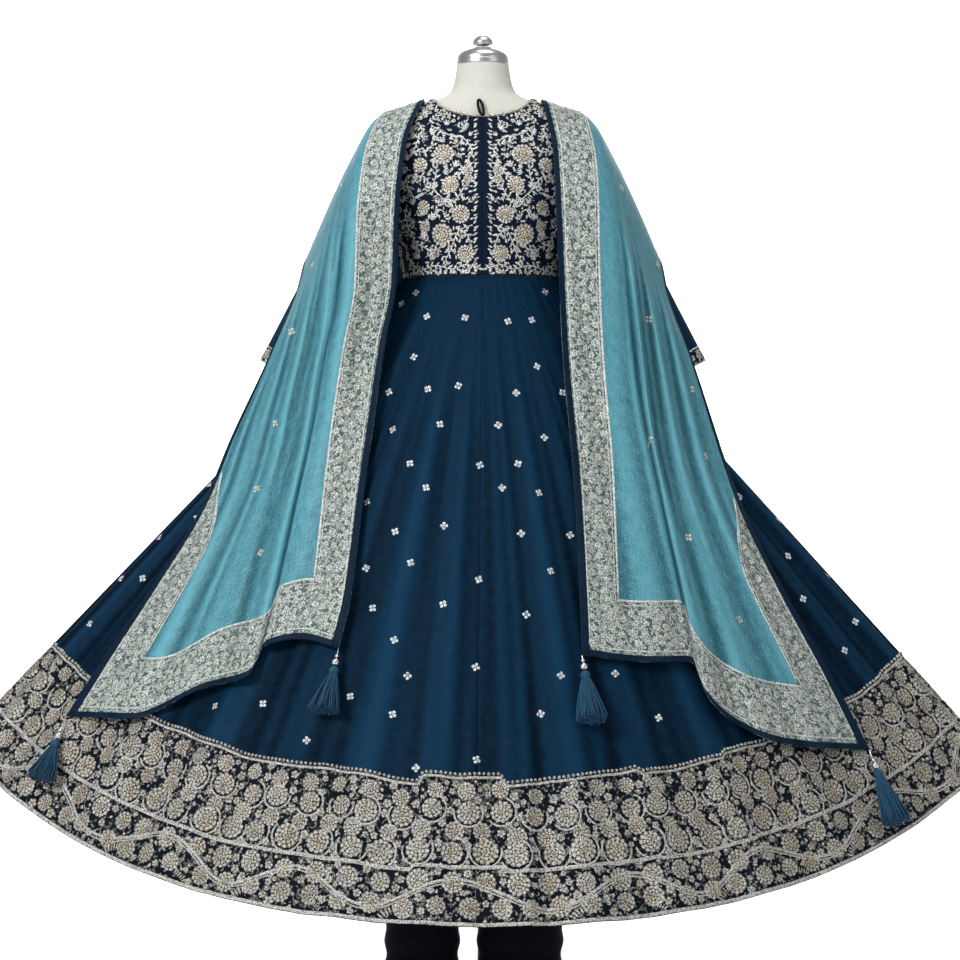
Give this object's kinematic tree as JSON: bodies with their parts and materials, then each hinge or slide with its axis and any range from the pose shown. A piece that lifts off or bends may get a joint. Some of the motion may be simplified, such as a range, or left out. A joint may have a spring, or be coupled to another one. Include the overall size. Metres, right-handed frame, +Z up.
{
  "type": "anarkali suit on limbless dress form",
  "caption": "Full-flared embroidered anarkali suit with slim trousers and a draped scarf, worn by a limbless dress form on a round-based stand.",
  "frame": {"origin": "centre of the flat underside of the stand's base", "axes": "+Z up along the pole; -Y is the suit's back, which the picture shows; -X is the wearer's left"},
  "size_m": [1.778, 1.0158, 1.7426],
  "materials": {
    "navy_georgette": "matt woven georgette",
    "embroidered_navy": "navy cloth covered with cream and silver embroidery",
    "teal_silk": "soft silk with a low sheen",
    "navy_binding": "matt woven binding",
    "dark_navy_cotton": "matt cotton",
    "form_cover": "close off-white cover cloth",
    "brushed_steel": "brushed",
    "silver_bead": "polished bead",
    "blue_tassel_thread": "twisted thread",
    "painted_base": "satin paint"
  },
  "bodies": {
    "root": {"form_torso": "form_cover", "form_neck_cap": "brushed_steel", "form_neck_knob": "brushed_steel", "stand_pole": "brushed_steel", "stand_base": "painted_base", "bodice_back_left": "embroidered_navy", "bodice_back_right": "embroidered_navy", "bodice_front": "embroidered_navy", "zip_placket": "navy_georgette", "zip_pull_loop": "navy_georgette", "neck_binding": "embroidered_navy", "sleeve_left": "navy_georgette", "sleeve_right": "navy_georgette", "cuff_left": "embroidered_navy", "cuff_right": "embroidered_navy", "skirt_back_left": "navy_georgette", "hem_border_back_left": "embroidered_navy", "skirt_back_right": "navy_georgette", "hem_border_back_right": "embroidered_navy", "skirt_front_left": "navy_georgette", "hem_border_front_left": "embroidered_navy", "skirt_front_right": "navy_georgette", "hem_border_front_right": "embroidered_navy", "trouser_leg_left": "dark_navy_cotton", "trouser_leg_right": "dark_navy_cotton", "trouser_seat": "dark_navy_cotton", "dupatta_back_left": "teal_silk", "dupatta_back_right": "teal_silk", "dupatta_front": "teal_silk", "dupatta_binding_left": "navy_binding", "dupatta_binding_right": "navy_binding", "dupatta_binding_neck": "navy_binding", "dupatta_binding_front": "navy_binding", "tassel_bead_left_inner": "silver_bead", "tassel_left_inner": "blue_tassel_thread", "tassel_bead_left_outer": "silver_bead", "tassel_left_outer": "blue_tassel_thread", "tassel_bead_right_inner": "silver_bead", "tassel_right_inner": "blue_tassel_thread", "tassel_bead_right_outer": "silver_bead", "tassel_right_outer": "blue_tassel_thread"}
  },
  "joints": []
}
